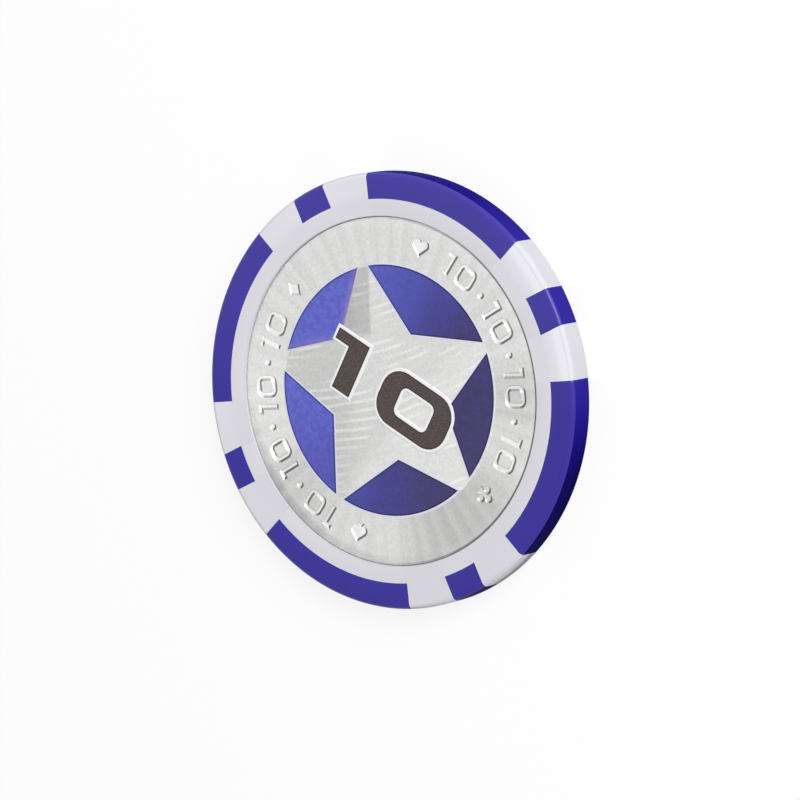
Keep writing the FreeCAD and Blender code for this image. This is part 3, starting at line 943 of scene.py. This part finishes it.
def white_plastic():
    """Cool white moulded plastic, softly glossy, with faint flow marks and fine rubbing on its face; its
    colour has painted light: a painted highlight on the outer face towards the top and the key's side,
    painted shade on the rounded rim and the recess's mouth, and on the side wall painted light, painted
    shade and a painted shadow at its foot on the lower right.
    """
    paint = new_paint("white_plastic")
    here = paint.place()
    x, y, z = paint.split(here, "XYZ")
    reach = paint.reach(x, y)
    from_rim = RIM_RADIUS - reach
    grain, bump, roughness = moulded(paint, here)
    clouds = paint.noise(here, 160, detail=4.0)
    colour = paint.mix(clouds, (0.695, 0.69, 0.745), (0.73, 0.725, 0.775))
    # painted light: a painted highlight on the outer band of the face, on its upper half
    upper_face_highlight = paint.step(from_rim, 2.7 * MM, 1.5 * MM) * paint.step(y, -16 * MM, 0.0)
    # mouth: a painted shade on the rounded mouth of the recess
    mouth = paint.step(reach - RECESS_RADIUS, 0.085 * MM, 0.07 * MM)
    left = paint.step(x, 2 * MM, -12 * MM)
    # lit marks the key's side and sheltered the lower right; they steer the painted light and shade below
    lit = paint.glance(x, y, turn=25, width=75)
    sheltered = paint.glance(x, y, turn=305, width=32)
    wall = paint.step(from_rim, 0.2 * MM, 0.05 * MM)
    # foot: a painted shadow along the lower edge of the side wall, on the lower right
    foot = sheltered * paint.step(z, 1.7 * MM, 1.1 * MM) * paint.step(from_rim, 0.3 * MM, 0.15 * MM)
    flat_edge = paint.step(from_rim, 1.7 * MM, 0.75 * MM)
    rounded_edge = paint.step(from_rim, 0.48 * MM, 0.35 * MM)
    # the painted light: a painted highlight on the outer face near the rim on the key's side, painted
    # shade on the rounded rim there, and on the side wall painted shade, but painted light on the lower
    # right; a little lighter towards the left
    light = 0.97 + 0.06 * grain + 0.07 * upper_face_highlight + 0.04 * left
    light = light + 0.14 * lit * (flat_edge - 1.7 * rounded_edge)
    light = light + wall * (0.3 * sheltered - 0.13 + 0.08 * lit)
    colour = paint.shade(colour, light * (1 - 0.6 * foot) * (1 - 0.2 * mouth))
    return paint.finish(
        Base_Color=colour, Roughness=0.5 + roughness, Normal=bump, Specular_IOR_Level=0.16
    )


def blue_plastic():
    """Royal blue moulded plastic, a little paler towards the top of its face."""
    paint = new_paint("blue_plastic")
    here = paint.place()
    (y,) = paint.split(here, "Y")
    grain, bump, roughness = moulded(paint, here)
    clouds = paint.noise(here, 240, detail=4.0)
    colour = paint.mix(clouds, (0.031, 0.02, 0.315), (0.041, 0.028, 0.365))
    toward_top = paint.step(y, -5 * MM, 13 * MM)
    colour = paint.mix(0.12 * toward_top, colour, (0.16, 0.13, 0.38))
    colour = paint.shade(colour, 0.82 + 0.12 * grain + 0.1 * toward_top)
    return paint.finish(
        Base_Color=colour, Roughness=0.2 + roughness, Normal=bump, Specular_IOR_Level=0.3
    )


def blue_side_wall():
    """The same blue on the side wall, deeper and hardly glossy, with painted light in its colour: paler
    and lighter towards the key's side, and painted shade on the lower right that deepens towards its
    foot.
    """
    paint = new_paint("blue_side_wall")
    here = paint.place()
    x, y, z = paint.split(here, "XYZ")
    grain, bump, roughness = moulded(paint, here)
    clouds = paint.noise(here, 240, detail=4.0)
    colour = paint.mix(clouds, (0.013, 0.006, 0.31), (0.019, 0.01, 0.35))
    # paler and lit: painted light on the key's side; sheltered and foot: painted shade on the lower
    # right, deepest near the bottom
    paler = paint.glance(x, y, turn=26, width=42)
    colour = paint.mix(0.42 * paler, colour, (0.055, 0.043, 0.29))
    lit = paint.glance(x, y, turn=24, width=45)
    sheltered = paint.glance(x, y, turn=-45, width=45)
    foot = paint.step(z, 1.6 * MM, 0.5 * MM)
    light = 0.6 + 0.38 * lit - (0.25 + 0.25 * foot) * sheltered
    colour = paint.shade(colour, (0.94 + 0.12 * grain) * light)
    return paint.finish(
        Base_Color=colour, Roughness=0.45 + roughness, Normal=bump, Specular_IOR_Level=0.005
    )


# ---------------------------------------------------------------- the label's finishes


RAY_COUNT = 50
STREAK_RISE = math.radians(15.5)
STREAK_PITCH = 0.78 * MM
STREAK_DRIFT = 0.9 * MM
STREAK_BOW = 12.0


def band_light(paint, x, y):
    """How bright the foil's band is, as painted light: a sunburst of fine rays, which is the foil's
    radial grain with its reflection painted in; painted shade and light from arc to arc and near the
    edge; and a painted shadow of the recess wall along the edge on the right.
    """
    reach = paint.reach(x, y)
    spokes = paint.noise(paint.join(x / reach, y / reach), 11, detail=5.0, roughness=0.65)
    rays = paint.maths("SINE", RAY_COUNT * paint.maths("ARCTAN2", y, x) + 9.0 * spokes)
    # dim: painted shade on the arcs to the lower right, the lower left and the right, and painted light
    # on the left
    dim = (
        0.22 * paint.glance(x, y, turn=302, width=34)
        + 0.12 * paint.glance(x, y, turn=223, width=20)
        + 0.12 * paint.glance(x, y, turn=0, width=16)
        - 0.08 * paint.glance(x, y, turn=184, width=30)
    )
    from_edge = LABEL_RADIUS - reach
    # edge_light: painted light near the label's edge, with painted shade on the lower left and at the
    # bottom
    edge_light = (
        0.03
        - 0.2 * paint.glance(x, y, turn=225, width=45)
        - 0.1 * paint.glance(x, y, turn=270, width=22)
    )
    near_edge = paint.step(from_edge, 0.9 * MM, 0.4 * MM)
    light = 0.92 + 0.03 * rays + 0.18 * (spokes - 0.5) - dim + edge_light * near_edge
    # at_wall: a painted shadow of the recess wall on the band's outer edge, on the right
    at_wall = paint.step(from_edge, 0.17 * MM, 0.11 * MM)
    return light * (1 - 0.82 * at_wall * paint.glance(x, y, turn=-5, width=105))


def star_light(paint, x, y):
    """How bright the foil's star is, as painted light: fine white streaks that rise to the right, which
    are the foil's brushing with its reflection painted in; painted shade on the left arms and the left
    half of the top arm, and a painted highlight to the lower right.
    """
    across = y * math.cos(STREAK_RISE) - x * math.sin(STREAK_RISE)
    along = x * math.cos(STREAK_RISE) + y * math.sin(STREAK_RISE)
    drift = paint.noise(paint.join(0.5 * along, across), 160, detail=2.0)
    fade = paint.noise(paint.join(0.35 * along, across), 400, detail=1.0)
    silk = paint.noise(paint.join(0.22 * along, across), 1500, detail=4.0, roughness=0.55)
    bowed = across + STREAK_DRIFT * drift - STREAK_BOW * along * along
    wave = paint.maths("SINE", bowed * (2 * math.pi / STREAK_PITCH))
    upper_left = paint.step(x, -1.6 * MM, -2 * MM) * paint.step(y, 4.3 * MM, 5.6 * MM)
    left = paint.step(x, -2 * MM, -6.5 * MM)
    lower_left = paint.step(x, 2.5 * MM, -1.5 * MM) * paint.step(y, 1 * MM, -2 * MM)
    lower_left = lower_left * paint.step(y, -8.5 * MM, -5 * MM)
    right = paint.step(x, 2.5 * MM, 5.5 * MM)
    lower_right = paint.step(x - y, 2 * MM, 5.5 * MM)
    patches = paint.step(fade + 0.1 * lower_left - 0.05 * right, 0.44, 0.6)
    # streaks: the brushing's reflection, painted in
    streaks = paint.step(wave, 0.0, 0.9) * patches
    # painted shade on the left arms and the left half of the top arm, painted light to the lower right
    base = 0.9 - 0.23 * upper_left - 0.14 * left + 0.07 * lower_right - 0.04 * lower_left
    return base + 0.18 * (silk - 0.5) + 0.16 * streaks


def foil(side):
    """Silver foil film with a fine grain, pressed in the band and streaked in the star; its colour
    carries painted light: the band's and the star's painted reflections and shade, and the marks' painted
    highlight and shade from the tone attribute.
    """
    paint = new_paint(f"{side}_label_foil")
    here = paint.place(side)
    x, y = paint.split(here)
    band = band_light(paint, x, y)
    inside = paint.step(PRINT_RADIUS - paint.reach(x, y), -0.1 * MM, 0.0)
    light = band + (star_light(paint, x, y) - band) * inside
    grain = paint.noise(here, 11000, roughness=0.7)
    mottle = paint.noise(here, 3200)
    dents = paint.noise(here, 1800)
    # the tone attribute carries the marks' painted highlight and painted shade
    tone = paint.node("Attribute", {"attribute_name": "tone"}, output="Fac")
    colour = paint.mix(mottle, (0.74, 0.745, 0.73), (0.79, 0.78, 0.785))
    colour = paint.shade(colour, light * tone * (0.78 + 0.16 * grain + 0.28 * mottle))
    return paint.finish(
        Base_Color=colour,
        Metallic=0.6,
        Roughness=0.3 + 0.18 * grain,
        Normal=paint.bump(0.6 * grain + 0.4 * dents, 0.02 * MM, 0.6),
    )


def beside_star(paint, x, y, tip):
    """1 along the first panel's edge to one of the star's tips, fading to 0 within the panel."""
    waist = star_corner(1)
    along = (star_corner(tip) - waist).normalized()
    away = Vector((-along.y, along.x, 0)) * (1 if tip == 0 else -1)
    distance = (x - waist.x) * away.x + (y - waist.y) * away.y
    return paint.step(distance, 0.75 * MM, 0.05 * MM)


def thinned(paint, x, y):
    """How far the first panel's lacquer has thinned, along its edges to the star's tips."""
    edges = beside_star(paint, x, y, 0) + 0.7 * beside_star(paint, x, y, 2)
    return paint.glance(x, y, turn=135, width=42) * edges


# the lacquer's blues, from the painted shade of its lower right to the painted light of its upper left
LACQUER_BLUES = [
    (0.0, (0.035, 0.028, 0.105)),
    (0.3, (0.042, 0.046, 0.235)),
    (0.6, (0.066, 0.08, 0.39)),
    (0.85, (0.095, 0.11, 0.51)),
    (1.0, (0.12, 0.145, 0.60)),
]


def lacquer(side, name="blue_lacquer", tone=1.0, thinning=0.45):
    """Blue metallic lacquer, with a painted reflection that lightens it towards the upper left and a
    painted shade on the lower right.
    """
    paint = new_paint(f"{side}_{name}")
    here = paint.place(side)
    x, y = paint.split(here)
    clouds = paint.noise(here, 330)
    mottle = paint.noise(here, 2200)
    grain = paint.noise(here, 10000, roughness=0.7)
    # share: a painted reflection that lightens the lacquer towards the upper left
    share = 0.5 + 0.5 * paint.lean_toward(x, y, turn=157) + 0.3 * (clouds - 0.5)
    share = paint.step(share, 0.0, 1.0)
    colour = paint.node("ValToRGB", {"stops": LACQUER_BLUES}, {"Fac": share})
    veins = paint.step(mottle, 0.35, 0.65) * (0.16 + 0.3 * share)
    colour = paint.mix(veins, colour, (0.085, 0.05, 0.42))
    # a painted shade on the lower right
    lower_right_shade = paint.step(x - y, 8 * MM, 15 * MM)
    colour = paint.mix(0.35 * lower_right_shade, colour, (0.05, 0.042, 0.14))
    thin = thinned(paint, x, y)
    colour = paint.mix(thinning * thin, colour, (0.34, 0.27, 0.5))
    colour = paint.shade(colour, (0.4 + 1.2 * grain) * (tone + (1 - tone) * thin))
    return paint.finish(
        Base_Color=colour,
        Metallic=0.35,
        Roughness=0.32 + 0.14 * grain,
        Normal=paint.bump(grain, 0.015 * MM, 0.5),
    )


def lacquer_rim(side):
    """The dark line just inside a panel's edge, where the lacquer has drawn together."""
    return lacquer(side, "lacquer_rim", tone=0.36, thinning=0.8)


def edge_line(side):
    """The thin pale line round each panel, where the lacquer thins out."""
    paint = new_paint(f"{side}_edge_line")
    here = paint.place(side)
    x, y = paint.split(here)
    grain = paint.noise(here, 10000)
    colour = paint.mix(grain, (0.64, 0.65, 0.84), (0.8, 0.81, 0.95))
    colour = paint.mix(0.9 * thinned(paint, x, y), colour, (0.48, 0.41, 0.54))
    return paint.finish(Base_Color=colour, Metallic=0.2, Roughness=0.35)


def white_ink(side):
    """Opaque pale print, which borders the numeral."""
    paint = new_paint(f"{side}_white_ink")
    here = paint.place(side)
    grain = paint.noise(here, 9000)
    colour = paint.mix(grain, (0.88, 0.85, 0.875), (0.96, 0.94, 0.955))
    return paint.finish(
        Base_Color=colour,
        Roughness=0.35 + 0.12 * grain,
        Normal=paint.bump(grain, 0.01 * MM, 0.4),
    )


def dark_ink(side, name="dark_ink", tone=1.0):
    """Brown-black print with a speckle of foil showing through."""
    paint = new_paint(f"{side}_{name}")
    here = paint.place(side)
    clouds = paint.noise(here, 700)
    grain = paint.noise(here, 7000, detail=4.0, roughness=0.75)
    colour = paint.mix(clouds, (0.06, 0.045, 0.043), (0.088, 0.067, 0.063))
    colour = paint.shade(colour, (3.2 * grain - 0.6) * tone)
    return paint.finish(
        Base_Color=colour,
        Roughness=0.34 + 0.16 * grain,
        Normal=paint.bump(grain, 0.014 * MM, 0.5),
        Specular_IOR_Level=0.3,
    )


def ink_rim(side):
    """The edge of the dark print, where the ink lies thickest."""
    return dark_ink(side, "dark_ink_rim", tone=0.35)


# ---------------------------------------------------------------- what lies inside


def brushed_steel():
    """Plain stamped steel, brushed along X."""
    paint = new_paint("core_steel")
    here = paint.place()
    x, y, z = paint.split(here, "XYZ")
    brushing = paint.noise(paint.join(0.04 * x, y, z), 9000)
    blooms = paint.noise(here, 400, detail=4.0)
    colour = paint.mix(blooms, (0.42, 0.42, 0.43), (0.56, 0.56, 0.55))
    return paint.finish(
        Base_Color=colour,
        Metallic=1.0,
        Roughness=0.28 + 0.2 * brushing,
        Normal=paint.bump(brushing, 0.01 * MM, 0.5),
    )


def clear_glue():
    """Pale glue with small bubbles."""
    paint = new_paint("adhesive")
    here = paint.place()
    bubbles = paint.cells(here, 1500)
    clouds = paint.noise(here, 500)
    colour = paint.mix(clouds, (0.5, 0.49, 0.45), (0.62, 0.6, 0.55))
    return paint.finish(
        Base_Color=colour,
        Roughness=0.4 + 0.3 * clouds,
        Normal=paint.bump(bubbles, 0.02 * MM, 0.4),
    )


def dress(node, material):
    """Gives a CAD node that stays a finished material."""
    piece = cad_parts[node]
    piece.data.materials.clear()
    coat(piece, [material])


# ---------------------------------------------------------------- floor, light and camera


FLOOR_SIZE = 4.0
FLOOR_HEIGHT = -0.02 * MM
FLOOR_GREY = 0.6
FLOOR_GLOW = 0.85
FILL_LEVEL = 0.45
KEY_TURN = math.radians(34)
KEY_RISE = math.radians(38)
KEY_DISTANCE = 0.5
KEY_SIZE = 0.3
KEY_POWER = 2.1
VIEW_TARGET = Vector((0.34, -0.87, 1.4)) * MM
VIEW_LEAN = math.radians(34.7)
VIEW_LEAN_AXIS = math.radians(100.7)
VIEW_DISTANCE = 0.4445
VIEW_LENS = 225


def seen_directly(paint):
    """1 where the camera, a mirror or glass sees a thing, and 0 for the light that it sends out."""
    names = ("Is Camera Ray", "Is Glossy Ray", "Is Transmission Ray")
    camera, mirror, glass = (paint.node("LightPath", output=name) for name in names)
    return paint.node("Math", {"operation": "ADD", "use_clamp": True}, {0: camera + mirror, 1: glass})


def make_floor():
    """A pale matt floor that is seen as plain white, with the chip's shadow faintly on it."""
    bpy.ops.mesh.primitive_plane_add(size=FLOOR_SIZE, location=(0, 0, FLOOR_HEIGHT))
    floor = start("floor")
    paint = new_paint("floor")
    direct = seen_directly(paint)
    matt = paint.node("BsdfDiffuse", inputs={"Color": FLOOR_GREY + (1 - FLOOR_GREY) * direct})
    glow = paint.node("Emission", inputs={"Color": (1, 1, 1, 1), "Strength": 1.0})
    mixed = paint.node("MixShader", inputs={0: FLOOR_GLOW * direct, 1: matt, 2: glow})
    coat(floor, [paint.output(mixed)])


def light_the_room():
    """An even pale room, whose own look is plain white."""
    world = bpy.data.worlds.new("studio")
    bpy.context.scene.world = world
    paint = Paint(world)
    strength = FILL_LEVEL + (1 - FILL_LEVEL) * seen_directly(paint)
    room = paint.node("Background", inputs={"Color": (1, 1, 1, 1), "Strength": strength})
    paint.output(room, "OutputWorld")


def add_key_light():
    """A round soft light that faces the chip from the upper right."""
    light = bpy.data.lights.new("key_light", "AREA")
    light.shape = "DISK"
    light.size = KEY_SIZE
    light.energy = KEY_POWER
    lamp = bpy.data.objects.new("key_light", light)
    bpy.context.scene.collection.objects.link(lamp)
    flat = KEY_DISTANCE * math.cos(KEY_RISE)
    rise = KEY_DISTANCE * math.sin(KEY_RISE)
    place = Vector((flat * math.cos(KEY_TURN), flat * math.sin(KEY_TURN), rise))
    lamp.location = place
    lamp.rotation_euler = place.to_track_quat("Z", "Y").to_euler()
    lamp.visible_camera = False


def add_camera():
    """Looks straight down on the upright star, then leans over about a level axis."""
    axis = Vector((math.cos(VIEW_LEAN_AXIS), math.sin(VIEW_LEAN_AXIS), 0))
    lean = Matrix.Rotation(VIEW_LEAN, 4, axis)
    data = bpy.data.cameras.new("camera")
    data.sensor_width = 36
    data.lens = VIEW_LENS
    data.clip_start = 0.01
    camera = bpy.data.objects.new("camera", data)
    bpy.context.scene.collection.objects.link(camera)
    back_off = Matrix.Translation((0, 0, VIEW_DISTANCE))
    camera.matrix_world = Matrix.Translation(VIEW_TARGET) @ lean @ back_off
    bpy.context.scene.camera = camera


# ---------------------------------------------------------------- the whole chip


def both(*makers):
    """Each side's materials, from functions that take the side."""
    return {side: [maker(side) for maker in makers] for side in SIDES}


add_camera()
make_floor()
light_the_room()
add_key_light()
blues = [blue_plastic(), blue_side_wall()]
make_white_body(white_plastic())
make_long_blocks(blues)
make_short_blocks(blues)
make_labels(both(foil))
make_star_panels(both(lacquer, edge_line, lacquer_rim))
make_number_borders(both(white_ink))
make_numbers(both(dark_ink, ink_rim))
dress("steel_core", brushed_steel())
glue = clear_glue()
for side in SIDES:
    dress(f"{side}_adhesive", glue)

bpy.context.scene.view_settings.view_transform = "Standard"
